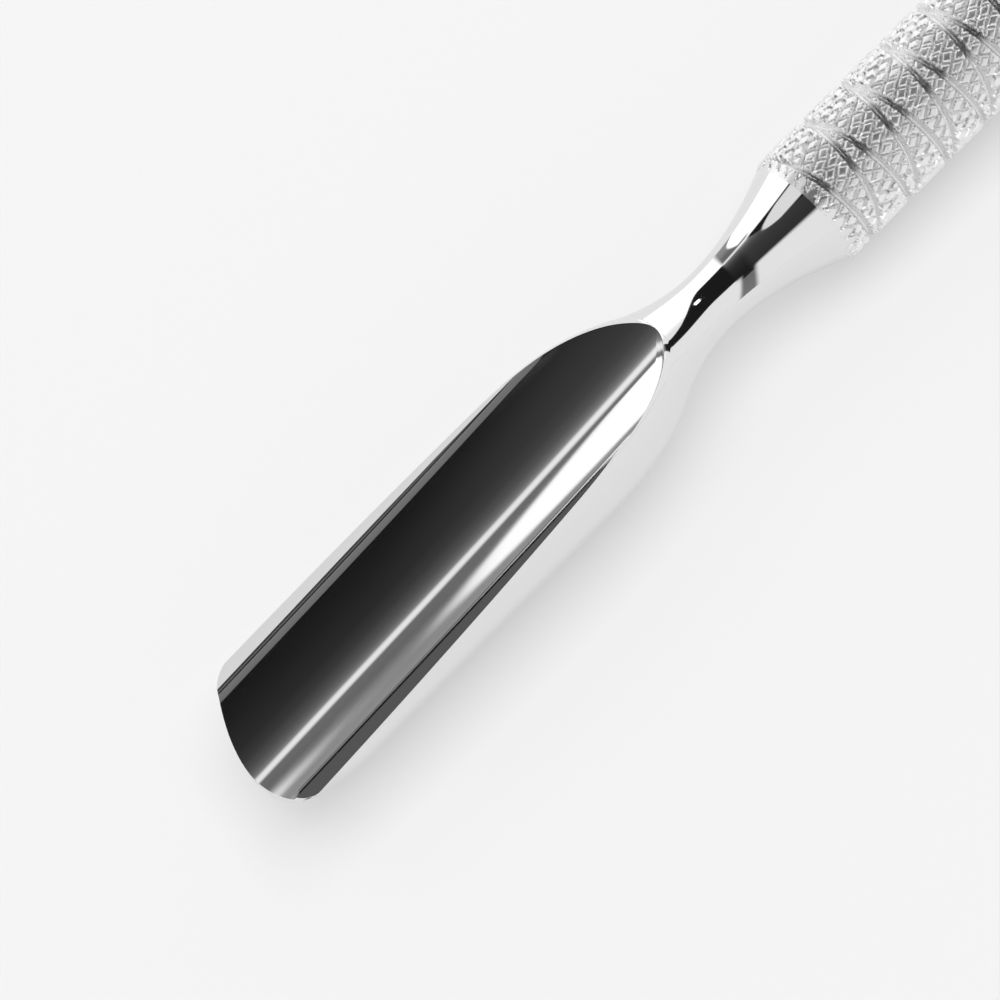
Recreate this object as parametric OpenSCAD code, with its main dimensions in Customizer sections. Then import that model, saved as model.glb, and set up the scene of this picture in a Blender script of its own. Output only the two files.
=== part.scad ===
// Double-ended cuticle pusher: a knurled hollow handle with a gouge-shaped scoop
// on one end and a small pointed cleaner on the other, both brazed in.
//
// Frame: origin on the handle's axis at mid-length, +X toward the scoop's tip,
// +Z up out of the scoop's open side. All sizes are in millimetres.

/* [Handle] */
// Length of the knurled handle tube
handle_length = 62; // [50:1:80]
// Diameter over the crests of the knurl
handle_diameter = 6.5; // [6.3:0.1:7.5]
// Depth of the knurl, by which the handle's two end faces are smaller than its crests
knurl_depth = 0.25; // [0.15:0.05:0.3]
// Diameter of the bore through the handle tube
bore_diameter = 4.2; // [3.8:0.1:4.4]

/* [Brazed sockets] */
// How far each working end's spigot goes into the handle tube
spigot_length = 12; // [8:1:16]
// Gap between a spigot and the bore, on the radius
spigot_gap = 0.05; // [0.03:0.01:0.1]
// Length of the ring of braze around each spigot
braze_length = 2.5; // [1.5:0.5:4]
// Radial thickness of the ring of braze
braze_thickness = 0.25; // [0.15:0.05:0.4]

/* [Scoop end] */
// Reach of the scoop end from the handle's face to its tip
scoop_reach = 39.3; // [36:0.1:45]
// Length of the parallel part of the scoop
scoop_parallel = 20; // [17:1:22]
// Width of the scoop over its outer wall
scoop_width = 8.26; // [7.8:0.02:8.6]
// Height of the scoop's centreline above the handle's axis
scoop_rise = 0.9; // [0.6:0.1:1.2]
// Diameter of the neck between the handle and the scoop
scoop_neck_diameter = 3.27; // [3:0.01:4]

/* [Scoop grinding] */
// Radius of the hollow that is ground along the scoop
hollow_radius = 4.9; // [4.7:0.1:5.5]
// Depth of the hollow under the rims at the tip
hollow_depth = 1.38; // [1.2:0.02:1.4]
// Slope of the hollow's floor, which rises until it runs out of the shoulder, in degrees
hollow_slope = 5.35; // [5:0.05:6]
// Slope of the flat that is ground along both rims, in degrees
rim_slope = 4.75; // [4:0.25:5.5]
// Height of the rims above the scoop's centreline at the tip
rim_height = 0.42; // [0.2:0.02:0.7]
// Radius of the tip's front edge, seen from above
tip_edge_radius = 6.5; // [6:0.5:10]
// Radius of the tip's two corners, seen from above
tip_corner_radius = 1.6; // [1:0.1:2]
// Length of the bow in which the back rises to the tip's edge
bow_length = 4.5; // [3.5:0.25:6]
// Thickness of the tip's edge in the middle
edge_thickness = 0.15; // [0.1:0.05:0.4]

/* [Cleaner end] */
// Reach of the cleaner end from the handle's face to its point
cleaner_reach = 33.7; // [28:0.1:38]
// Diameter of the neck between the handle and the cleaner blade
cleaner_neck_diameter = 2.6; // [2.2:0.1:3]
// Length of the cleaner's leaf-shaped blade
leaf_length = 11; // [9:0.5:13]
// Width of the leaf-shaped blade
leaf_width = 4.4; // [3.6:0.1:5]
// Thickness of the leaf-shaped blade at its point
leaf_point_thickness = 0.3; // [0.2:0.05:0.6]

/* [Hidden] */

handle_radius = handle_diameter / 2;
bore_radius = bore_diameter / 2;
spigot_radius = bore_radius - spigot_gap;
braze_inner_radius = bore_radius - braze_thickness;
half_handle = handle_length / 2;
face_radius = handle_radius - knurl_depth;
// The handle's edges carry on the cone of the scoop's shank.
cone_slope = 0.39;
handle_edge_length = knurl_depth / cone_slope;
braze_setback = 2;

scoop_radius = scoop_width / 2;
scoop_tip_x = half_handle + scoop_reach;
shoulder_length = scoop_reach - scoop_parallel;
shank_tilt = atan(scoop_rise / shoulder_length);
// The shank ends a hair under the scoop's own radius, so that the two meet in a clean edge.
shoulder_step = 0.06;
shoulder_overlap = 0.7;
back_bevel = 0.3;
floor_height = scoop_rise + rim_height - hollow_depth;
bow_drop = floor_height - edge_thickness - (scoop_rise - scoop_radius);
bow_steps = 10;
cutter_size = 40;

cleaner_tip_x = -(half_handle + cleaner_reach);
cut_overlap = 1;
curve_steps = 12;
arc_steps = 8;

// Shank of the scoop end, as [distance from the handle's face, radius, slope of the radius].
scoop_neck_at = 6.3;
scoop_shank = [
    [0, face_radius, -cone_slope],
    [scoop_neck_at, scoop_neck_diameter / 2, 0],
    [scoop_neck_at + 4.5, scoop_neck_diameter / 2 + 1.08, 0.48],
    [shoulder_length, scoop_radius - shoulder_step, 0]
];

// Shank of the cleaner end, in the same form. It fades out on the faces of the leaf.
cleaner_shank_length = cleaner_reach - leaf_length;
leaf_root_thickness = 1.1;
shank_fade_length = 4.5;
shank_fade_tail = 0.2;
cleaner_shank = [
    [0, face_radius, -cone_slope],
    [8, cleaner_neck_diameter / 2 + 0.15, -0.08],
    [cleaner_shank_length - 1, cleaner_neck_diameter / 2, 0],
    [cleaner_shank_length + shank_fade_length, leaf_root_thickness * 0.4, -0.05]
];

// One point of the smooth curve between stations a and b, at the fraction u.
function blend_point(a, b, u) =
    let (
        step = b[0] - a[0],
        from_a = 1 - 3 * pow(u, 2) + 2 * pow(u, 3),
        slope_a = u * pow(1 - u, 2) * step,
        slope_b = pow(u, 2) * (u - 1) * step
    )
    [a[1] * from_a + b[1] * (1 - from_a) + a[2] * slope_a + b[2] * slope_b, a[0] + u * step];

// Points [radius, distance] along a list of stations.
function blend_curve(stations) = [
    for (i = [0 : len(stations) - 2])
        for (k = [(i == 0 ? 0 : 1) : curve_steps])
            blend_point(stations[i], stations[i + 1], k / curve_steps)
];

function arc_points(centre, radius, from, to) = [
    for (k = [0 : arc_steps])
        let (angle = from + (to - from) * k / arc_steps)
        centre + radius * [cos(angle), sin(angle)]
];

// Turns a shape that stands on +Z so that it lies along +X.
module along_x() {
    rotate([0, 90, 0])
        children();
}

// A turned shank that starts at the handle's face and runs out along +X, with a
// straight tail past its last station. It reaches back by one overlap, so that a
// tilted shank can be trimmed flush.
module turned_shank(stations, tail) {
    curve = blend_curve(stations);
    end = curve[len(curve) - 1] + [0, tail];
    along_x()
        rotate_extrude($fn = 96)
            polygon(concat(
                [[0, -cut_overlap], [stations[0][1], -cut_overlap]],
                curve,
                [end, [0, end[1]]]
            ));
}

// A spigot that ends at the handle's front face, with the groove that its braze fills.
module spigot() {
    translate([half_handle - spigot_length, 0, 0])
        along_x()
            difference() {
                cylinder(r = spigot_radius, h = spigot_length + cut_overlap / 2, $fn = 64);
                translate([0, 0, spigot_length - braze_setback - braze_length])
                    difference() {
                        cylinder(r = bore_radius, h = braze_length, $fn = 64);
                        cylinder(r = braze_inner_radius, h = braze_length, $fn = 64);
                    }
            }
}

module braze_ring() {
    translate([half_handle - braze_setback - braze_length, 0, 0])
        along_x()
            difference() {
                cylinder(r = bore_radius, h = braze_length, $fn = 64);
                translate([0, 0, -cut_overlap])
                    cylinder(r = braze_inner_radius, h = braze_length + 2 * cut_overlap, $fn = 64);
            }
}

// Everything in front of the handle's front face.
module in_front_of_handle() {
    translate([half_handle, -cutter_size / 2, -cutter_size / 2])
        cube([2 * cutter_size, cutter_size, cutter_size]);
}

// Parallel half of the scoop before grinding.
module scoop_bar() {
    translate([scoop_tip_x - scoop_parallel, 0, scoop_rise])
        along_x()
            rotate_extrude($fn = 128)
                polygon([
                    [0, -back_bevel],
                    [scoop_radius - back_bevel, -back_bevel],
                    [scoop_radius, 0],
                    [scoop_radius, scoop_parallel],
                    [0, scoop_parallel]
                ]);
}

// The flat that is ground along both rims, as the space above it.
module rim_grind() {
    translate([scoop_tip_x, 0, scoop_rise + rim_height])
        rotate([0, rim_slope, 0])
            translate([-cutter_size, -cutter_size / 2, 0])
                cube([cutter_size + cut_overlap, cutter_size, cutter_size]);
}

// The hollow: a long round groove whose floor rises until it runs out of the shoulder.
module hollow_grind() {
    translate([scoop_tip_x, 0, floor_height + hollow_radius])
        rotate([0, hollow_slope - 90, 0])
            translate([0, 0, -2 * cut_overlap])
                cylinder(r = hollow_radius, h = cutter_size, $fn = 128);
}

// Side view of the space under the bow, from the tip backward.
module bow_outline() {
    bottom = scoop_rise - scoop_radius;
    curve = [
        for (k = [0 : bow_steps])
            let (turn = 90 * k / bow_steps)
            [-bow_length * (1 - cos(turn)), bottom + bow_drop * (1 - sin(turn))]
    ];
    polygon(concat(
        curve,
        [[-bow_length, bottom - cut_overlap], [cut_overlap, bottom - cut_overlap], [cut_overlap, bottom + bow_drop]]
    ));
}

// The bow: the back of the scoop rises to the tip's edge.
module bow_grind() {
    translate([scoop_tip_x, cutter_size / 2, 0])
        rotate([90, 0, 0])
            linear_extrude(height = cutter_size)
                bow_outline();
}

// Outline of the tip seen from above: a shallow arc between two round corners.
module tip_outline() {
    corner_y = scoop_radius - tip_corner_radius;
    corner_reach = tip_edge_radius - tip_corner_radius;
    corner_angle = asin(corner_y / corner_reach);
    corner_x = corner_reach * cos(corner_angle) - tip_edge_radius;
    left = arc_points([corner_x, corner_y], tip_corner_radius, 90, corner_angle);
    front = arc_points([-tip_edge_radius, 0], tip_edge_radius, corner_angle, -corner_angle);
    right = arc_points([corner_x, -corner_y], tip_corner_radius, -corner_angle, -90);
    polygon(concat(
        [[-cutter_size, scoop_radius + cut_overlap], [corner_x, scoop_radius + cut_overlap]],
        left,
        [for (k = [1 : arc_steps - 1]) front[k]],
        right,
        [[corner_x, -scoop_radius - cut_overlap], [-cutter_size, -scoop_radius - cut_overlap]]
    ));
}

module tip_trim() {
    translate([scoop_tip_x, 0, -cutter_size / 2])
        linear_extrude(height = cutter_size)
            difference() {
                translate([-2 * cut_overlap - tip_corner_radius, -cutter_size / 2])
                    square([cutter_size, cutter_size]);
                tip_outline();
            }
}

module handle_tube() {
    color("silver")
        translate([-half_handle, 0, 0])
            along_x()
                rotate_extrude($fn = 128)
                    polygon([
                        [bore_radius, 0],
                        [face_radius, 0],
                        [handle_radius, handle_edge_length],
                        [handle_radius, handle_length - handle_edge_length],
                        [face_radius, handle_length],
                        [bore_radius, handle_length]
                    ]);
}

module scoop_end() {
    color("gainsboro")
        union() {
            difference() {
                union() {
                    intersection() {
                        translate([half_handle, 0, 0])
                            rotate([0, -shank_tilt, 0])
                                turned_shank(scoop_shank, shoulder_overlap);
                        in_front_of_handle();
                    }
                    scoop_bar();
                }
                rim_grind();
                hollow_grind();
                bow_grind();
                tip_trim();
            }
            spigot();
        }
}

// Leaf seen from above, pointing along +X from the end of its shank.
module leaf_outline() {
    half_width = leaf_width / 2;
    root_half_width = cleaner_neck_diameter / 2 - 0.2;
    widest = leaf_length * 0.45;
    side = [
        [0, root_half_width, 0.1],
        [widest, half_width, 0],
        [leaf_length, 0, -0.75]
    ];
    upper = [for (p = blend_curve(side)) [p[1], p[0]]];
    last = len(upper) - 1;
    polygon(concat(
        upper,
        [for (k = [last - 1 : -1 : 0]) [upper[k][0], -upper[k][1]]]
    ));
}

// The leaf's blade: its outline, cut to a wedge that thins toward the point.
module leaf_blade() {
    root = leaf_root_thickness / 2;
    point = leaf_point_thickness / 2;
    intersection() {
        translate([0, 0, -leaf_root_thickness])
            linear_extrude(height = 2 * leaf_root_thickness)
                leaf_outline();
        rotate([90, 0, 0])
            translate([0, 0, -leaf_width])
                linear_extrude(height = 2 * leaf_width)
                    polygon([
                        [-cut_overlap, -root],
                        [leaf_length, -point],
                        [leaf_length, point],
                        [-cut_overlap, root]
                    ]);
    }
}

module cleaner_end() {
    color("gainsboro")
        mirror([1, 0, 0])
            union() {
                intersection() {
                    translate([half_handle, 0, 0])
                        turned_shank(cleaner_shank, shank_fade_tail);
                    in_front_of_handle();
                }
                translate([half_handle + cleaner_shank_length, 0, 0])
                    leaf_blade();
                spigot();
            }
}

module front_braze_ring() {
    color("darkgoldenrod")
        braze_ring();
}

module rear_braze_ring() {
    color("darkgoldenrod")
        mirror([1, 0, 0])
            braze_ring();
}

handle_tube();
scoop_end();
cleaner_end();
front_braze_ring();
rear_braze_ring();
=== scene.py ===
"""Double-ended cuticle pusher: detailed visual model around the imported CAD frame.

The three large pieces are rebuilt here as fine meshes, because mirror-polished steel shows every facet:
the scoop end and the cleaner end are lofts, and the handle is a relief of knurl and crossing grooves.
Lengths are in millimetres in the shape functions, and are turned into metres when a mesh is made.
"""
import math

import bmesh
import bpy
import numpy as np
from mathutils import Matrix, Vector


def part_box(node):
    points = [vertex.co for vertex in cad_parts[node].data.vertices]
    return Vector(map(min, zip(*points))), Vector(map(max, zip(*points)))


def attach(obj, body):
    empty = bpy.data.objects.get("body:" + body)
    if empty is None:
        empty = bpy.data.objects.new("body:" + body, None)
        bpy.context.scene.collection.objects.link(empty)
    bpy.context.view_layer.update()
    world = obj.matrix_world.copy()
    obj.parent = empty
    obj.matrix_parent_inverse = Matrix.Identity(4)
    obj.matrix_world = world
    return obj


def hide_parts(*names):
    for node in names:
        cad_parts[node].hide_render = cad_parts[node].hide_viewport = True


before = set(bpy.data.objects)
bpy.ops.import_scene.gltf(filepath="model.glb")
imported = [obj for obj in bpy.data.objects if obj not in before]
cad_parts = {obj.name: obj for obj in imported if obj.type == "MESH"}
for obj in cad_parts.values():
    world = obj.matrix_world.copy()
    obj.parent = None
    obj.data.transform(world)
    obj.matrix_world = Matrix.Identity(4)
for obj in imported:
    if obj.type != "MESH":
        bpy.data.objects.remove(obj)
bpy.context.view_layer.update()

MM = 0.001
handle_low, handle_high = [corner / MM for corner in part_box("handle_tube")]
scoop_low, scoop_high = [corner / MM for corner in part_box("scoop_end")]
cleaner_low, cleaner_high = [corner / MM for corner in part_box("cleaner_end")]

# ---------------------------------------------------------------- places that come from the frame
HANDLE_RADIUS = handle_high.z
HANDLE_FRONT = handle_high.x
HANDLE_BACK = handle_low.x
SCOOP_TIP = scoop_high.x
SPIGOT_DEPTH = HANDLE_FRONT - scoop_low.x
CLEANER_TIP = cleaner_low.x
SCOOP_REACH = SCOOP_TIP - HANDLE_FRONT
CLEANER_REACH = HANDLE_BACK - CLEANER_TIP

# ---------------------------------------------------------------- handle
BORE_RADIUS = 2.1
SPIGOT_RADIUS = 2.05
BRAZE_RADIUS = 1.85
BRAZE_SETBACK = 2.0
BRAZE_LENGTH = 2.5
# The knurl: diamonds with flat tops, between two hands of fine V grooves that wander a little.
KNURL_DEPTH = 0.25
KNURLS_AROUND = 29
KNURL_LENGTH = 1.2
KNURL_STEPS = 10
ROWS_PER_KNURL = 24
KNURL_FLAT = 0.42
KNURL_SHARPNESS = 1.5
KNURL_WANDER = 0.05
# Waves of the wander: (radians per millimetre along the handle, waves round it).
FIRST_HAND_WAVES = ((2.3, 6), (3.1, -12))
SECOND_HAND_WAVES = ((1.7, 14),)
SECOND_HAND_RAISED = 0.05
GROOVE_LEAD = 2.71
GROOVE_HALF_WIDTH = 0.19
GROOVE_DEPTH = 0.4
GROOVE_SETBACK = 0.6
# The two grooves cross on the far side, this far behind the handle's front face and round from +Y.
CROSSING_SETBACK = 3.27
CROSSING_TURN = 0.376
CONE_SLOPE = 0.39
CONE_SKIN = 0.02

# ---------------------------------------------------------------- scoop end
SCOOP_RADIUS = 4.13
SCOOP_RISE = 0.9
SCOOP_NECK_RADIUS = 1.635
SCOOP_PARALLEL = 20.0
# Where the shank is thinnest, and a place on the shoulder, both from the handle's face.
NECK_AT = 6.3
SHOULDER_AT = 10.8
SHOULDER_SWELL = 1.08
SHOULDER_SLOPE = 0.48
SHANK_RISE_SLOPE = 0.045
# The hollow: a wide arc that turns up in a tight one to steep walls. Turns are in degrees.
HOLLOW_RADIUS = 5.8
HOLLOW_TURN = 31.0
HOLLOW_CORNER = 0.9
HOLLOW_WALL = 76.0
HOLLOW_WALL_HEIGHT = 2.0
HOLLOW_DEPTH = 1.38
HOLLOW_BEND = 9.0
HOLLOW_CURVE = 0.0013
# The flat ground along both rims, the lands on it, and the bow of the back toward the tip.
RIM_HEIGHT = 0.42
RIM_SLOPE = 0.083
FAR_LAND_LEAN = 9.0
NEAR_LAND_LEAN = -2.0
EDGE_THICKNESS = 0.1
BOW_LENGTH = 4.5
# The tip's edge seen from above. Its foremost point lies toward the near side, +Y.
TIP_RADIUS = 6.2
TIP_OFFSET = 1.5
TIP_CORNER = 0.8
TIP_BLEND = 9.0


def smooth_curve(stations, where):
    """A smooth curve through stations of (place, value, slope), at an array of places."""
    where = np.asarray(where, float)
    place, value, slope = np.array(stations, float).T
    k = np.clip(np.searchsorted(place, where, side="right") - 1, 0, len(place) - 2)
    step = place[k + 1] - place[k]
    u = np.clip((where - place[k]) / step, 0, 1)
    from_a = 1 - 3 * u**2 + 2 * u**3
    slopes = u * (1 - u) ** 2 * slope[k] + u**2 * (u - 1) * slope[k + 1]
    return value[k] * from_a + value[k + 1] * (1 - from_a) + slopes * step


def ease(u):
    u = np.clip(u, 0, 1)
    return u * u * (3 - 2 * u)


# ---------------------------------------------------------------- mesh helpers
def grid_faces(rows, columns, closed=False):
    """Quads of a rows x columns grid of points, wrapping round the columns if closed."""
    row = np.arange(rows - 1)[:, None]
    column = np.arange(columns if closed else columns - 1)[None, :]
    after = (column + 1) % columns
    a = row * columns + column
    b = row * columns + after
    return np.stack([a, b, b + columns, a + columns], axis=-1).reshape(-1, 4)


def make_piece(name, points, faces, weld=1e-6, sharp=40.0):
    """An object from points in millimetres. Points closer than weld metres become one."""
    mesh = bpy.data.meshes.new(name)
    mesh.from_pydata((np.asarray(points) * MM).tolist(), [], np.asarray(faces).tolist())
    shape = bmesh.new()
    shape.from_mesh(mesh)
    bmesh.ops.remove_doubles(shape, verts=shape.verts, dist=weld)
    bmesh.ops.dissolve_degenerate(shape, edges=shape.edges, dist=weld / 10)
    bmesh.ops.recalc_face_normals(shape, faces=shape.faces)
    shape.to_mesh(mesh)
    shape.free()
    mesh.shade_smooth()
    mesh.set_sharp_from_angle(angle=math.radians(sharp))
    piece = bpy.data.objects.new(name, mesh)
    bpy.context.scene.collection.objects.link(piece)
    return piece


# ---------------------------------------------------------------- scoop end
SHANK_STATIONS = [
    (0.0, HANDLE_RADIUS - KNURL_DEPTH, -CONE_SLOPE),
    (NECK_AT, SCOOP_NECK_RADIUS, 0.0),
    (SHOULDER_AT, SCOOP_NECK_RADIUS + SHOULDER_SWELL, SHOULDER_SLOPE),
    (SCOOP_REACH - SCOOP_PARALLEL, SCOOP_RADIUS, 0.0),
]
RISE_STATIONS = [(0.0, 0.0, SHANK_RISE_SLOPE), (SCOOP_REACH - SCOOP_PARALLEL, SCOOP_RISE, 0.0)]
# Points across half a section, and how many of them lie in the last fine stretch at an edge.
OUTER_POINTS = 100
LAND_POINTS = 14
LAND_CORRECTIONS = 12
INNER_POINTS = 110
FINE_POINTS = 16
FINE_LENGTH = 0.5
# The rim is smoothed where the hollow runs out, over this length.
END_SMOOTHING = 60
END_BLEND = 7.0
# Stretches at the tip and at the hollow's end with closer rows.
ROW_STRETCH = 4.0
TIP_ROWS = 50
MIDDLE_ROWS = 100
END_ROWS = 64
SHANK_ROWS = 90
SLANT_STEPS = 9


def outer_radius(from_tip):
    return smooth_curve(SHANK_STATIONS, SCOOP_REACH - from_tip)


def centre_height(from_tip):
    return smooth_curve(RISE_STATIONS, SCOOP_REACH - from_tip)


def rim_plane(from_tip):
    return SCOOP_RISE + RIM_HEIGHT + RIM_SLOPE * from_tip


def hollow_floor(from_tip):
    bend = np.maximum(from_tip - HOLLOW_BEND, 0)
    return SCOOP_RISE + RIM_HEIGHT - HOLLOW_DEPTH + RIM_SLOPE * from_tip + HOLLOW_CURVE * bend**2


def hollow_end():
    """Distance from the tip at which the hollow's floor meets the top of the shank."""
    places = np.linspace(SCOOP_PARALLEL, SCOOP_REACH, 4000)
    crest = centre_height(places) + outer_radius(places)
    below = hollow_floor(places) < crest
    return places[np.argmin(below)]


def hollow_profile():
    """Half of the hollow's section, from its bottom: a wide arc that turns up in a tight one."""
    turn = math.radians(HOLLOW_TURN)
    wide = np.linspace(0, turn, 400)
    tight = np.linspace(turn, math.radians(HOLLOW_WALL), 300)[1:]
    y = HOLLOW_RADIUS * np.sin(wide)
    z = HOLLOW_RADIUS * (1 - np.cos(wide))
    y2 = y[-1] + HOLLOW_CORNER * (np.sin(tight) - math.sin(turn))
    z2 = z[-1] + HOLLOW_CORNER * (math.cos(turn) - np.cos(tight))
    rise = np.linspace(0, HOLLOW_WALL_HEIGHT, 200)[1:]
    y3 = y2[-1] + rise / math.tan(math.radians(HOLLOW_WALL))
    z3 = z2[-1] + rise
    return np.concatenate([y, y2, y3]), np.concatenate([z, z2, z3])


PROFILE_Y, PROFILE_Z = hollow_profile()
PROFILE_S = np.concatenate([[0], np.cumsum(np.hypot(np.diff(PROFILE_Y), np.diff(PROFILE_Z)))])


def places_between(start, end, count, fine):
    """Count places from start to end, with FINE_POINTS of them in the last stretch of length fine."""
    fine = min(fine, (end - start) * 0.5)
    coarse = np.linspace(start, end - fine, count - FINE_POINTS)
    return np.concatenate([coarse, np.linspace(end - fine, end, FINE_POINTS + 1)[1:]])


def scoop_section(from_tip, from_edge, land_lean):
    """Half a section of the ground scoop: bottom, outside, rim, land, hollow, floor.

    The section is the one at from_tip, with the bow's height taken at from_edge.
    """
    radius = float(outer_radius(from_tip))
    centre = float(centre_height(from_tip))
    floor = float(hollow_floor(from_tip))
    plane = float(rim_plane(from_tip))
    y, z = PROFILE_Y, PROFILE_Z + floor
    outside = np.hypot(y, z - centre) - radius
    # the hollow's profile stops where it leaves the shank or rises over the rims' flat
    past = np.maximum(outside, z - plane)
    cut = np.argmax(past > 0)
    if cut == 0:
        end_s = 0.0
    else:
        share = -past[cut - 1] / (past[cut] - past[cut - 1])
        end_s = PROFILE_S[cut - 1] + share * (PROFILE_S[cut] - PROFILE_S[cut - 1])
    edge_y = float(np.interp(end_s, PROFILE_S, PROFILE_Y))
    edge_z = float(np.interp(end_s, PROFILE_S, PROFILE_Z)) + floor
    # the land leans outward, and its outer end lies on the shank: found by repeated correction
    slope = math.tan(math.radians(land_lean))
    out_y, out_z = edge_y, edge_z
    for _ in range(LAND_CORRECTIONS):
        out_y = math.sqrt(max(radius**2 - (out_z - centre)**2, 0))
        out_y = max(out_y, edge_y)
        out_z = edge_z - slope * (out_y - edge_y)
    # the back rises to the edge in a bow
    bow = min(from_edge / BOW_LENGTH, 1)
    full = centre - radius
    thin = floor - EDGE_THICKNESS
    bottom = thin + (full - thin) * math.sqrt(max(1 - (1 - bow)**2, 0))
    drop = out_z - bottom
    back = (out_y**2 + drop**2) / (2 * drop)
    back_centre = bottom + back
    end_angle = math.atan2(out_z - back_centre, out_y)
    angle = places_between(-math.pi / 2, end_angle, OUTER_POINTS, FINE_LENGTH / back)
    outer = np.stack([back * np.cos(angle), back_centre + back * np.sin(angle)], axis=-1)
    across = np.linspace(0, 1, LAND_POINTS + 2)[1:-1]
    land = np.stack([out_y + (edge_y - out_y) * across, out_z + (edge_z - out_z) * across], axis=-1)
    along = places_between(0.0, end_s, INNER_POINTS, FINE_LENGTH)[::-1]
    inner = np.stack([
        np.interp(along, PROFILE_S, PROFILE_Y), np.interp(along, PROFILE_S, PROFILE_Z) + floor,
    ], axis=-1)
    return np.concatenate([outer, land, inner])


def tip_recess(y):
    """How far the tip's edge lies behind its foremost point, at y (near side positive)."""
    edge = (y - TIP_OFFSET)**2 / (2 * TIP_RADIUS)
    over = np.maximum(np.abs(y) - (SCOOP_RADIUS - TIP_CORNER), 0)
    corner = TIP_CORNER - np.sqrt(np.maximum(TIP_CORNER**2 - over**2, 0))
    return edge + corner


def scoop_rows(length):
    """Distances from the tip, close together at the tip and where the hollow runs out."""
    tip = ROW_STRETCH * np.linspace(0, 1, TIP_ROWS) ** 1.4
    middle = np.linspace(ROW_STRETCH, length - ROW_STRETCH, MIDDLE_ROWS)[1:]
    end = length - ROW_STRETCH * np.linspace(1, 0, END_ROWS)[1:] ** 1.6
    return np.concatenate([tip, middle, end])


def side_of_scoop(side, length):
    """One side of the ground scoop: rows of points from the bottom round the rim to the floor."""
    lean = NEAR_LAND_LEAN if side > 0 else FAR_LAND_LEAN
    rows = []
    for base in scoop_rows(length):
        flat = scoop_section(base, base, lean)
        fade = max(1 - base / TIP_BLEND, 0)**2
        recess = tip_recess(side * flat[:, 0]) * fade
        reach = np.minimum(base + recess, length)
        # a point keeps its share of the section, but takes the section of its own distance
        places = np.linspace(reach.min(), reach.max(), SLANT_STEPS)
        if places[-1] - places[0] < 1e-6:
            section = flat
        else:
            sections = np.array([scoop_section(place, base, lean) for place in places])
            step = (reach - places[0]) / (places[-1] - places[0]) * (len(places) - 1)
            low = np.clip(step.astype(int), 0, len(places) - 2)
            part = (step - low)[:, None]
            index = np.arange(len(flat))
            section = sections[low, index] * (1 - part) + sections[low + 1, index] * part
        rows.append(np.column_stack([SCOOP_TIP - reach, section]))
    rows = np.array(rows)
    first = OUTER_POINTS - FINE_POINTS
    last = OUTER_POINTS + LAND_POINTS + FINE_POINTS
    near_end = ease((scoop_rows(length) - (length - END_BLEND)) / END_BLEND)
    passes = END_SMOOTHING * near_end
    for k in range(END_SMOOTHING):
        share = np.clip(passes - k, 0, 1)[:, None, None]
        around = rows[:, first - 1:last - 1] + rows[:, first + 1:last + 1]
        rows[:, first:last] += share * (0.25 * around - 0.5 * rows[:, first:last])
    rows[:, [0, -1], 1] = 0
    rows[..., 1] *= side
    return rows


def build_scoop():
    length = hollow_end()
    shank = length + (SCOOP_REACH - length) * np.linspace(0, 1, SHANK_ROWS)
    # the face at the handle, the spigot with the groove for its braze, and the spigot's end
    braze_front = HANDLE_FRONT - BRAZE_SETBACK
    profile = [
        (HANDLE_FRONT, SPIGOT_RADIUS), (braze_front, SPIGOT_RADIUS), (braze_front, BRAZE_RADIUS),
        (braze_front - BRAZE_LENGTH, BRAZE_RADIUS), (braze_front - BRAZE_LENGTH, SPIGOT_RADIUS),
        (HANDLE_FRONT - SPIGOT_DEPTH, SPIGOT_RADIUS), (HANDLE_FRONT - SPIGOT_DEPTH, 0.0),
    ]
    points, faces, count = [], [], 0
    for side in (1, -1):
        rows = side_of_scoop(side, length)
        turned = []
        for place, radius, centre in (
            [(SCOOP_TIP - t, float(outer_radius(t)), float(centre_height(t))) for t in shank[1:]]
            + [(px, pr, 0.0) for px, pr in profile]
        ):
            angle = places_between(-math.pi / 2, math.pi / 2, OUTER_POINTS, FINE_LENGTH / max(radius, 1))
            turned.append(np.column_stack([
                np.full(OUTER_POINTS, place),
                side * radius * np.cos(angle),
                centre + radius * np.sin(angle),
            ]))
        outside = np.concatenate([rows[:, :OUTER_POINTS], np.array(turned)])
        inside = rows[:, OUTER_POINTS - 1:]
        for block in (outside, inside):
            faces += (grid_faces(block.shape[0], block.shape[1]) + count).tolist()
            points.append(block.reshape(-1, 3))
            count += block.shape[0] * block.shape[1]
    piece = make_piece("scoop_end_polished", np.concatenate(points), faces)
    close_holes(piece)
    return piece


def close_holes(piece):
    """Fills each open edge loop, such as the thin edge at the tip."""
    shape = bmesh.new()
    shape.from_mesh(piece.data)
    open_edges = [e for e in shape.edges if len(e.link_faces) == 1]
    if open_edges:
        bmesh.ops.holes_fill(shape, edges=open_edges, sides=0)
        bmesh.ops.recalc_face_normals(shape, faces=shape.faces)
    shape.to_mesh(piece.data)
    shape.free()


# ---------------------------------------------------------------- handle
def valley(phase):
    """0 in the valleys and 1 halfway between two valleys of a wave of period 1."""
    return 2 * np.abs((phase + 0.5) % 1.0 - 0.5)


def wander(x, turn, waves):
    """Sideways shift of a fine groove, in knurls."""
    angle = 2 * math.pi * turn
    return KNURL_WANDER * sum(np.sin(rate * x + count * angle) for rate, count in waves)


def groove_distance(x, turn, hand):
    """Distance from the middle line of one of the two crossing grooves."""
    lead_angle = math.atan(GROOVE_LEAD / (2 * math.pi * HANDLE_RADIUS))
    phase = (x - HANDLE_FRONT + CROSSING_SETBACK) / GROOVE_LEAD + hand * (turn - CROSSING_TURN)
    return np.abs((phase + 0.5) % 1.0 - 0.5) * GROOVE_LEAD * math.cos(lead_angle)


def is_grooved(x, apart):
    return (apart < GROOVE_HALF_WIDTH) & (HANDLE_FRONT - x > GROOVE_SETBACK)


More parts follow.
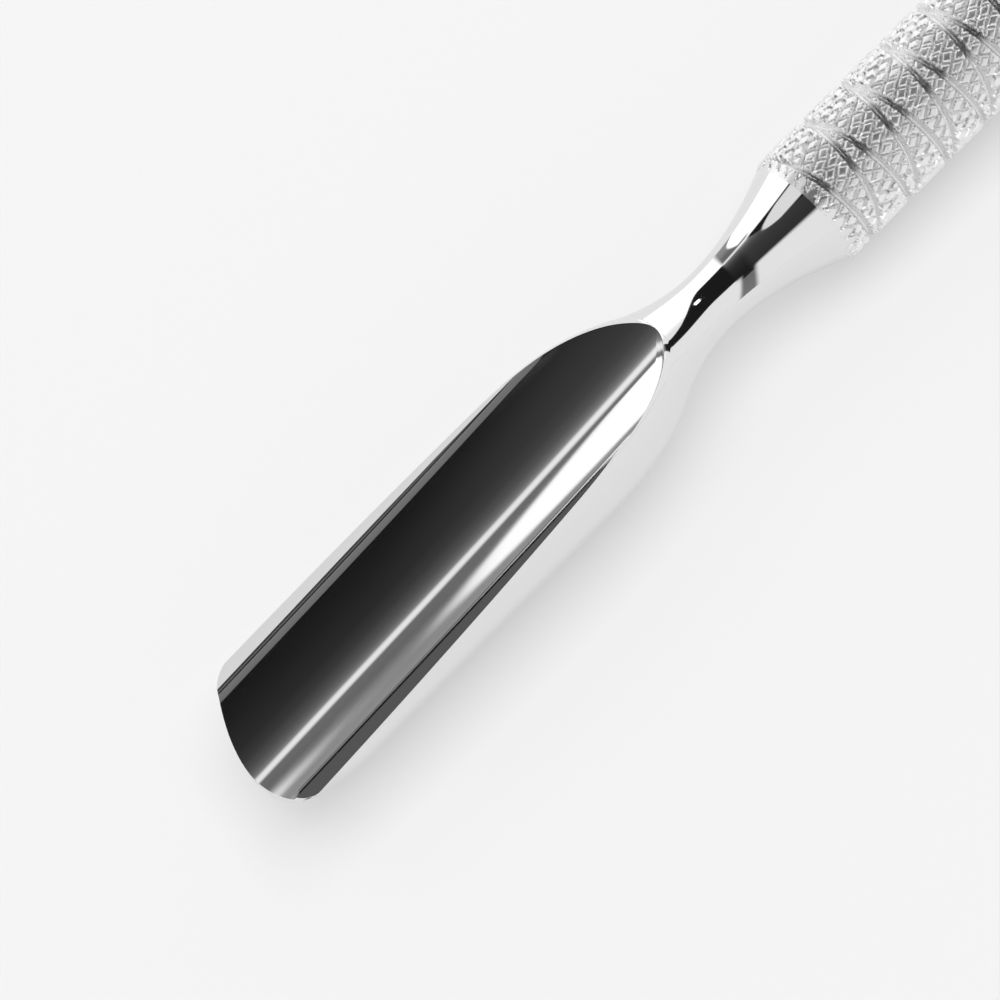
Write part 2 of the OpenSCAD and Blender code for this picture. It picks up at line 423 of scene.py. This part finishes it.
def edge_cone(x):
    """Radius of the cones that the handle's two edges are turned to."""
    return HANDLE_RADIUS - KNURL_DEPTH + CONE_SLOPE * np.minimum(HANDLE_FRONT - x, x - HANDLE_BACK)


def handle_radius_at(x, turn):
    """Radius of the handle's surface at x and at a turn (0 to 1) round its axis."""
    around = turn * KNURLS_AROUND
    along = x / KNURL_LENGTH
    first = valley(around + along + wander(x, turn, FIRST_HAND_WAVES))
    second = valley(around - along + wander(x, turn, SECOND_HAND_WAVES))
    away = np.minimum(first, second + SECOND_HAND_RAISED)
    height = 1 - np.maximum(1 - away / KNURL_FLAT, 0) ** KNURL_SHARPNESS
    radius = HANDLE_RADIUS - KNURL_DEPTH * (1 - height)
    for hand in (1, -1):
        apart = groove_distance(x, turn, hand)
        share = np.clip(apart / GROOVE_HALF_WIDTH, 0, 1)
        floor = HANDLE_RADIUS - GROOVE_DEPTH * np.sqrt(1 - share**2)
        radius = np.where(is_grooved(x, apart), np.minimum(radius, floor), radius)
    return np.minimum(radius, edge_cone(x))


def build_handle():
    length = HANDLE_FRONT - HANDLE_BACK
    rows = int(round(length / KNURL_LENGTH * ROWS_PER_KNURL)) + 1
    columns = KNURLS_AROUND * KNURL_STEPS
    x = np.linspace(HANDLE_BACK, HANDLE_FRONT, rows)[:, None] + np.zeros((1, columns))
    turn = (np.arange(columns) / columns)[None, :] + np.zeros((rows, 1))
    radius = handle_radius_at(x, turn)
    angle = turn * 2 * math.pi
    outside = np.stack([x, radius * np.cos(angle), radius * np.sin(angle)], axis=-1)
    inside = outside[[0, -1]].copy()
    inside[..., 1] = BORE_RADIUS * np.cos(angle[:2])
    inside[..., 2] = BORE_RADIUS * np.sin(angle[:2])
    rings = np.concatenate([outside, inside[1:], inside[:1], outside[:1]])
    faces = grid_faces(len(rings), columns, closed=True)
    # split each quad along the valley that crosses it
    heights = np.linalg.norm(rings.reshape(-1, 3)[:, 1:], axis=1)
    a, b, c, d = faces.T
    along_ac = heights[a] + heights[c] < heights[b] + heights[d]
    triangles = np.where(
        along_ac[:, None],
        np.stack([a, b, c, a, c, d], axis=1),
        np.stack([a, b, d, b, c, d], axis=1),
    ).reshape(-1, 3)
    return make_piece("handle_tube_knurled", rings.reshape(-1, 3), triangles, sharp=50.0)


def smooth_parts_of_handle(mesh):
    """1 for each face in a groove or on an edge cone, and 0 for each face of the knurl."""
    centres = np.empty(3 * len(mesh.polygons))
    mesh.polygons.foreach_get("center", centres)
    x, y, z = centres.reshape(-1, 3).T / MM
    turn = np.arctan2(z, y) / (2 * math.pi) % 1.0
    radius = np.hypot(y, z)
    apart = np.minimum(groove_distance(x, turn, 1), groove_distance(x, turn, -1))
    on_cone = np.abs(radius - edge_cone(x)) < CONE_SKIN
    return (is_grooved(x, apart) | on_cone).astype(np.int32)


# ---------------------------------------------------------------- cleaner end
LEAF_LENGTH = 11.0
LEAF_HALF_WIDTH = 2.2
LEAF_WIDEST = 0.55
LEAF_ROOT = CLEANER_REACH - LEAF_LENGTH
LEAF_FLATTENING = 0.35
CLEANER_NECK_RADIUS = 1.3
# Stations of (distance from the handle's face, half size, slope).
CLEANER_CONE = [
    (0.0, HANDLE_RADIUS - KNURL_DEPTH, -CONE_SLOPE),
    (8.0, CLEANER_NECK_RADIUS + 0.15, -0.08),
]
CLEANER_HALF_WIDTH = CLEANER_CONE + [
    (LEAF_ROOT - 1.0, CLEANER_NECK_RADIUS, 0.0),
    (CLEANER_REACH - LEAF_LENGTH * LEAF_WIDEST, LEAF_HALF_WIDTH, 0.0),
    (CLEANER_REACH - 0.15, 0.12, -0.75),
    (CLEANER_REACH, 0.0, -0.9),
]
CLEANER_HALF_HEIGHT = CLEANER_CONE + [
    (LEAF_ROOT - 2.5, CLEANER_NECK_RADIUS, 0.0),
    (LEAF_ROOT + 4.0, 0.5, -0.08),
    (CLEANER_REACH, 0.13, -0.03),
]
CLEANER_ROWS = 260
CLEANER_COLUMNS = 160


def build_cleaner():
    out = CLEANER_REACH * np.linspace(0, 1, CLEANER_ROWS)
    columns = CLEANER_COLUMNS
    angle = np.linspace(0, 2 * math.pi, columns, endpoint=False)[None, :]
    wide = smooth_curve(CLEANER_HALF_WIDTH, out)[:, None]
    high = smooth_curve(CLEANER_HALF_HEIGHT, out)[:, None]
    # the round neck passes into the leaf's flatter section
    flat = ease((out - (LEAF_ROOT - 1.5)) / 5.0)[:, None]
    across = np.cos(angle)
    up = np.sin(angle) * (1 - flat * LEAF_FLATTENING * (1 - np.abs(np.sin(angle))))
    rings = np.stack([
        np.repeat((HANDLE_BACK - out)[:, None], columns, axis=1), wide * across, high * up,
    ], axis=-1)
    back = HANDLE_BACK
    braze_back = back + BRAZE_SETBACK
    profile = [
        (back + SPIGOT_DEPTH, 0.0), (back + SPIGOT_DEPTH, SPIGOT_RADIUS),
        (braze_back + BRAZE_LENGTH, SPIGOT_RADIUS), (braze_back + BRAZE_LENGTH, BRAZE_RADIUS),
        (braze_back, BRAZE_RADIUS), (braze_back, SPIGOT_RADIUS), (back, SPIGOT_RADIUS),
    ]
    spigot = np.array([
        np.stack([np.full(columns, px), pr * np.cos(angle[0]), pr * np.sin(angle[0])], axis=-1)
        for px, pr in profile
    ])
    rings = np.concatenate([spigot, rings])
    faces = grid_faces(len(rings), columns, closed=True)
    piece = make_piece("cleaner_end_polished", rings.reshape(-1, 3), faces)
    close_holes(piece)
    return piece


# ---------------------------------------------------------------- materials
STEEL_REFLECTANCE = 0.8
KNURL_REFLECTANCE = 0.9
POLISHED_ROUGHNESS = 0.05
SATIN_ROUGHNESS = 0.27
ROUGHNESS_SPREAD = 0.4
# Fine haze drawn out along the tool, in cycles per metre.
HAZE_STRETCH = (300, 3000, 3000)
KNURL_ROUGHNESS = (0.28, 0.48)
KNURL_GRAIN = 2500.0
KNURL_GRAIN_DEPTH = 0.00004
BRAZE_GRAIN = 1500.0
BRAZE_DARK = (0.62, 0.55, 0.38, 1)
BRAZE_LIGHT = (0.80, 0.74, 0.58, 1)
FLOOR_TONE = 0.25
FLOOR_MOTTLE = 0.01
FLOOR_GLOW = 0.48


def grey(tone):
    return (tone, tone, tone, 1)


def new_material(name):
    material = bpy.data.materials.new(name)
    material.use_nodes = True
    nodes = material.node_tree.nodes
    return material, nodes, material.node_tree.links, nodes["Principled BSDF"]


def polished_steel(name, roughness):
    material, nodes, links, shader = new_material(name)
    shader.inputs["Metallic"].default_value = 1.0
    shader.inputs["Base Color"].default_value = grey(STEEL_REFLECTANCE)
    place = nodes.new("ShaderNodeTexCoord")
    stretch = nodes.new("ShaderNodeMapping")
    stretch.inputs["Scale"].default_value = HAZE_STRETCH
    haze = nodes.new("ShaderNodeTexNoise")
    haze.inputs["Scale"].default_value = 1.0
    haze.inputs["Detail"].default_value = 3.0
    rough = nodes.new("ShaderNodeMapRange")
    rough.inputs["To Min"].default_value = roughness * (1 - ROUGHNESS_SPREAD)
    rough.inputs["To Max"].default_value = roughness * (1 + ROUGHNESS_SPREAD)
    links.new(place.outputs["Object"], stretch.inputs["Vector"])
    links.new(stretch.outputs["Vector"], haze.inputs["Vector"])
    links.new(haze.outputs["Fac"], rough.inputs["Value"])
    links.new(rough.outputs["Result"], shader.inputs["Roughness"])
    return material


def knurled_steel():
    material, nodes, links, shader = new_material("knurled_steel")
    shader.inputs["Metallic"].default_value = 1.0
    shader.inputs["Base Color"].default_value = grey(KNURL_REFLECTANCE)
    place = nodes.new("ShaderNodeTexCoord")
    grain = nodes.new("ShaderNodeTexNoise")
    grain.inputs["Scale"].default_value = KNURL_GRAIN
    grain.inputs["Detail"].default_value = 4.0
    rough = nodes.new("ShaderNodeMapRange")
    rough.inputs["To Min"].default_value = KNURL_ROUGHNESS[0]
    rough.inputs["To Max"].default_value = KNURL_ROUGHNESS[1]
    bump = nodes.new("ShaderNodeBump")
    bump.inputs["Strength"].default_value = 0.7
    bump.inputs["Distance"].default_value = KNURL_GRAIN_DEPTH
    links.new(place.outputs["Object"], grain.inputs["Vector"])
    links.new(grain.outputs["Fac"], rough.inputs["Value"])
    links.new(grain.outputs["Fac"], bump.inputs["Height"])
    links.new(rough.outputs["Result"], shader.inputs["Roughness"])
    links.new(bump.outputs["Normal"], shader.inputs["Normal"])
    return material


def braze_metal():
    material, nodes, links, shader = new_material("silver_braze")
    shader.inputs["Metallic"].default_value = 1.0
    place = nodes.new("ShaderNodeTexCoord")
    spots = nodes.new("ShaderNodeTexNoise")
    spots.inputs["Scale"].default_value = BRAZE_GRAIN
    tone = nodes.new("ShaderNodeValToRGB")
    tone.color_ramp.elements[0].color = BRAZE_DARK
    tone.color_ramp.elements[1].color = BRAZE_LIGHT
    shader.inputs["Roughness"].default_value = 0.4
    links.new(place.outputs["Object"], spots.inputs["Vector"])
    links.new(spots.outputs["Fac"], tone.inputs["Fac"])
    links.new(tone.outputs["Color"], shader.inputs["Base Color"])
    return material


def floor_material():
    """A white table that glows a little, with the faintest mottle."""
    material, nodes, links, shader = new_material("white_table")
    place = nodes.new("ShaderNodeTexCoord")
    mottle = nodes.new("ShaderNodeTexNoise")
    mottle.inputs["Scale"].default_value = 6.0
    tone = nodes.new("ShaderNodeValToRGB")
    tone.color_ramp.elements[0].color = grey(FLOOR_TONE - FLOOR_MOTTLE)
    tone.color_ramp.elements[1].color = grey(FLOOR_TONE + FLOOR_MOTTLE)
    links.new(place.outputs["Object"], mottle.inputs["Vector"])
    links.new(mottle.outputs["Fac"], tone.inputs["Fac"])
    links.new(tone.outputs["Color"], shader.inputs["Base Color"])
    shader.inputs["Emission Color"].default_value = grey(1)
    shader.inputs["Emission Strength"].default_value = FLOOR_GLOW
    shader.inputs["Roughness"].default_value = 0.9
    shader.inputs["Specular IOR Level"].default_value = 0.1
    return material


def dress(piece, material):
    piece.data.materials.clear()
    piece.data.materials.append(material)


steel = polished_steel("polished_steel", POLISHED_ROUGHNESS)
satin = polished_steel("satin_steel", SATIN_ROUGHNESS)
knurl = knurled_steel()
braze = braze_metal()

scoop = build_scoop()
dress(scoop, steel)
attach(scoop, "root")
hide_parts("scoop_end")

handle = build_handle()
dress(handle, knurl)
handle.data.materials.append(satin)
handle.data.polygons.foreach_set("material_index", smooth_parts_of_handle(handle.data))
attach(handle, "root")
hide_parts("handle_tube")

cleaner = build_cleaner()
dress(cleaner, steel)
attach(cleaner, "root")
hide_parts("cleaner_end")

for node in ("front_braze_ring", "rear_braze_ring"):
    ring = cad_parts[node]
    for slot_index in range(len(ring.material_slots)):
        ring.material_slots[slot_index].material = braze

# ---------------------------------------------------------------- floor, light and camera
scene = bpy.context.scene
scene.view_settings.view_transform = "Standard"
scene.view_settings.look = "None"

FLOOR_SIZE = 3.0
FLOOR_GAP = 0.00002
FLOOR_Z = -HANDLE_RADIUS * MM
bpy.ops.mesh.primitive_plane_add(size=FLOOR_SIZE, location=(0, 0, FLOOR_Z - FLOOR_GAP))
table_top = bpy.context.object
table_top.name = "table_top"
dress(table_top, floor_material())

# Brightness of the room's walls, which are white, and of the small lamp.
FAR_WINDOW = 1.3
NEAR_WALL = 0.94
END_WALLS = 1.8
SMALL_LAMP = 6.0


def seen_as(shade):
    """Brightness of a surround that polished steel shows as this grey of the picture, 0 to 255."""
    return ((shade / 255 + 0.055) / 1.055) ** 2.4 / STEEL_REFLECTANCE


def ceiling(stops):
    return [(degrees, seen_as(shade)) for degrees, shade in stops]


# What the blade's steel shows round the tool's long axis, and the same near the hollow's end, as
# (degrees from overhead, far side negative; grey). The thin bright pair is a strip light.
ACROSS_BLADE = ceiling([
    (-100, 152), (-86, 142), (-66, 126), (-52, 98), (-42.0, 106), (-39.8, 228), (-35.9, 228), (-34, 130),
    (-30.4, 100), (-24.4, 78), (-15, 56), (-3, 42), (20, 32), (42.5, 22), (44.5, 104), (90, 115),
])
ACROSS_RUNOUT = ceiling([
    (-100, 152), (-86, 142), (-66, 126), (-52, 98), (-42.4, 118), (-40.2, 235), (-35.9, 235), (-34, 150),
    (-30.4, 112), (-24.4, 84), (-15, 66), (-3, 56), (20, 49), (42.5, 44), (44.5, 112), (90, 120),
])
# The dark ceiling's two edges, in degrees from overhead, and how far they swing at the handle's end.
CEILING_GREY = 26
CEILING_FAR_EDGE = -37.5
CEILING_NEAR_EDGE = 32.0
SWING_START = -0.93
SWING_END = -0.45
FAR_EDGE_SWING = 62.0
NEAR_EDGE_SWING = 16.0
# Two panels past the blade's zone, by their grey.
LIGHT_PANEL = 216
GREY_PANEL = 96
# Where zones start and end along the tool's axis: 1 is straight toward the tip, -1 toward the handle.
FAR_ZONE_START = (-0.235, -0.205)
RUNOUT_START = (-0.10, -0.03)
NEAR_ZONE = (-0.185, -0.05)
CEILING_ZONE = (-0.15, 0.0)
TIP_WALL_START = (0.6, 0.75)
HANDLE_WALL_END = (-0.98, -0.93)
LAMP_ALONG = (-0.60, -0.55)
# The near zone leans toward the handle with each degree past a turn.
NEAR_ZONE_FROM = 43.0
NEAR_ZONE_LEAN = 0.0013
# Where zones start and end round the axis, in degrees.
WALL_CHANGE = (-10.0, 10.0)
CEILING_ZONE_START = (-46.0, -45.0)
NEAR_ZONE_START = (30.0, 40.0)
LIGHT_PANEL_TURNS = (-34.0, -5.0)
GREY_PANEL_TURNS = (-80.0, -39.0)
LAMP_TURNS = (-12.0, -4.0)
# Rounded edges: the turn of their middle, how much they curve, and where their middle lies.
FAR_ZONE_EDGE = (-72, 0.0000955, -0.1455)
LIGHT_PANEL_EDGE = (-20, 0.0005, 0.10)
GREY_PANEL_EDGE = (-60, -0.0003, 0.43)

# A rectangular light over the tool, in metres and watts.
SOFTBOX_LENGTH = 1.6
SOFTBOX_WIDTH = 0.9
SOFTBOX_HEIGHT = 1.0
SOFTBOX_ASIDE = -0.05
SOFTBOX_POWER = 16.0


def studio_world():
    """A white room with a dark ceiling over the tool and a graded zone over the blade.

    A direction is given by its turn round the tool's axis, in degrees from overhead with the near side
    positive, and by how far it points along the axis: 1 toward the tip and -1 toward the handle.
    """
    world = bpy.data.worlds.new("studio")
    scene.world = world
    world.use_nodes = True
    nodes, links = world.node_tree.nodes, world.node_tree.links
    background = nodes["Background"]
    place = nodes.new("ShaderNodeTexCoord")
    parts = nodes.new("ShaderNodeSeparateXYZ")
    links.new(place.outputs["Generated"], parts.inputs[0])
    along = parts.outputs["X"]

    def maths(operation, a, b):
        node = nodes.new("ShaderNodeMath")
        node.operation = operation
        for socket, value in zip(node.inputs, (a, b)):
            if isinstance(value, (int, float)):
                socket.default_value = value
            else:
                links.new(value, socket)
        return node.outputs["Value"]

    def step(value, low, high):
        node = nodes.new("ShaderNodeMapRange")
        node.interpolation_type = "SMOOTHSTEP"
        node.inputs["From Min"].default_value = low
        node.inputs["From Max"].default_value = high
        links.new(value, node.inputs["Value"])
        return node.outputs["Result"]

    def mix(a, b, share):
        node = nodes.new("ShaderNodeMix")
        for name, value in (("Factor", share), ("A", a), ("B", b)):
            if isinstance(value, (int, float)):
                node.inputs[name].default_value = value
            else:
                links.new(value, node.inputs[name])
        return node.outputs["Result"]

    def both(a, b):
        return maths("MULTIPLY", a, b)

    def without(share):
        return maths("SUBTRACT", 1.0, share)

    turn = maths("DEGREES", maths("ARCTAN2", parts.outputs["Y"], parts.outputs["Z"]), 0.0)
    turn_share = maths("DIVIDE", maths("ADD", turn, 180.0), 360.0)

    def zone(stops):
        node = nodes.new("ShaderNodeValToRGB")
        stages = node.color_ramp.elements
        while len(stages) < len(stops):
            stages.new(0.5)
        for stage, (degrees, brightness) in zip(stages, stops):
            stage.position = (degrees + 180) / 360
            stage.color = grey(brightness)
        links.new(turn_share, node.inputs["Fac"])
        return node.outputs["Color"]

    def rounded(middle, curve, start):
        """How far past a rounded edge: positive where the direction leans more to the tip."""
        off = maths("SUBTRACT", turn, middle)
        bulge = both(both(off, off), curve)
        return maths("SUBTRACT", along, maths("ADD", bulge, start))

    def inside(value, low, high, soft):
        """1 between low and high, with soft edges."""
        return both(step(value, low - soft, low + soft), without(step(value, high - soft, high + soft)))

    # A dark ceiling, whose far edge swings toward the near side over the handle's end of the tool.
    behind = without(step(along, SWING_START, SWING_END))
    far_edge = maths("ADD", both(behind, FAR_EDGE_SWING), CEILING_FAR_EDGE)
    near_edge = maths("ADD", both(behind, NEAR_EDGE_SWING), CEILING_NEAR_EDGE)
    past_far_edge = step(maths("SUBTRACT", turn, far_edge), -1.0, 1.0)
    before_near_edge = step(maths("SUBTRACT", near_edge, turn), -1.2, 1.2)
    walls = mix(FAR_WINDOW, NEAR_WALL, step(turn, *WALL_CHANGE))
    level = mix(walls, seen_as(CEILING_GREY), both(past_far_edge, before_near_edge))
    # Over the blade the far side is grey up to a rounded edge, and the ceiling is graded.
    blade = mix(zone(ACROSS_BLADE), zone(ACROSS_RUNOUT), step(along, *RUNOUT_START))
    past_rounded_edge = step(rounded(*FAR_ZONE_EDGE), -0.004, 0.006)
    far_part = both(step(along, *FAR_ZONE_START), without(past_rounded_edge))
    slant = both(maths("SUBTRACT", turn, NEAR_ZONE_FROM), NEAR_ZONE_LEAN)
    near_part = inside(maths("ADD", along, slant), *NEAR_ZONE, 0.025)
    ceiling_part = both(inside(along, *CEILING_ZONE, 0.02), step(turn, *CEILING_ZONE_START))
    far_or_ceiling = maths("MAXIMUM", far_part, ceiling_part)
    level = mix(level, blade, mix(far_or_ceiling, near_part, step(turn, *NEAR_ZONE_START)))
    # Beyond the cone a light panel hangs in the dark ceiling, and a grey one beside the window.
    past_edge = step(rounded(*LIGHT_PANEL_EDGE), -0.01, 0.01)
    light_panel = both(past_edge, inside(turn, *LIGHT_PANEL_TURNS, 1.5))
    level = mix(level, seen_as(LIGHT_PANEL), light_panel)
    past_edge = step(rounded(*GREY_PANEL_EDGE), -0.02, 0.02)
    grey_panel = both(past_edge, inside(turn, *GREY_PANEL_TURNS, 1.5))
    level = mix(level, seen_as(GREY_PANEL), grey_panel)
    # White walls at both ends, and a small lamp that makes the star on the shoulder.
    level = mix(level, END_WALLS, step(along, *TIP_WALL_START))
    level = mix(END_WALLS, level, step(along, *HANDLE_WALL_END))
    lamp = both(inside(along, *LAMP_ALONG, 0.01), inside(turn, *LAMP_TURNS, 2.0))
    level = mix(level, SMALL_LAMP, lamp)
    background.inputs["Color"].default_value = grey(1)
    links.new(level, background.inputs["Strength"])


def overhead_softbox():
    """A large soft light overhead. Polished steel doesn't mirror it."""
    lamp_data = bpy.data.lights.new("softbox", "AREA")
    lamp_data.shape = "RECTANGLE"
    lamp_data.size = SOFTBOX_LENGTH
    lamp_data.size_y = SOFTBOX_WIDTH
    lamp_data.energy = SOFTBOX_POWER
    lamp = bpy.data.objects.new("softbox", lamp_data)
    scene.collection.objects.link(lamp)
    lamp.location = (0, SOFTBOX_ASIDE, SOFTBOX_HEIGHT)
    lamp.rotation_euler = (math.atan2(SOFTBOX_ASIDE, SOFTBOX_HEIGHT), 0, 0)
    lamp.visible_glossy = False


studio_world()
overhead_softbox()

TURN_TOWARD_TIP = math.radians(15.5)
TURN_TOWARD_NEAR = math.radians(22.6)
CAMERA_DISTANCE = 0.9
PIXELS_PER_MM = 20.9
IMAGE_SIDE = 1000
SENSOR_WIDTH = 36.0
# Where the middle of the picture falls: along the tool's image from its tip, and above its axis.
MIDDLE_FROM_TIP = 17.9
MIDDLE_ABOVE_AXIS = 0.55

toward_camera = Vector((
    math.sin(TURN_TOWARD_TIP),
    math.cos(TURN_TOWARD_TIP) * math.sin(TURN_TOWARD_NEAR),
    math.cos(TURN_TOWARD_TIP) * math.cos(TURN_TOWARD_NEAR),
))
tool_axis = Vector((1, 0, 0))
tipward = (tool_axis - toward_camera * tool_axis.dot(toward_camera)).normalized()
farward = tipward.cross(toward_camera)
if farward.y > 0:
    farward = -farward
# On the picture the tip points down to the left and the far side of the tool up to the left.
screen_right = (-tipward - farward).normalized()
screen_up = (-tipward + farward).normalized()
rest_height = float(hollow_floor(0)) * MM
tip_point = Vector((SCOOP_TIP * MM, 0, rest_height))
target = Vector((SCOOP_TIP * MM, 0, 0))
target -= tipward * (target - tip_point).dot(tipward)
target -= tipward * MIDDLE_FROM_TIP * MM
target += farward * MIDDLE_ABOVE_AXIS * MM
camera_data = bpy.data.cameras.new("camera")
camera_data.sensor_width = SENSOR_WIDTH
camera_data.lens = SENSOR_WIDTH * CAMERA_DISTANCE / (IMAGE_SIDE / PIXELS_PER_MM * MM)
camera = bpy.data.objects.new("camera", camera_data)
scene.collection.objects.link(camera)
turn = Matrix((screen_right, screen_up, toward_camera)).transposed().to_4x4()
camera.matrix_world = Matrix.Translation(target + toward_camera * CAMERA_DISTANCE) @ turn
camera_data.clip_start = 0.01
camera_data.clip_end = 10.0
scene.camera = camera
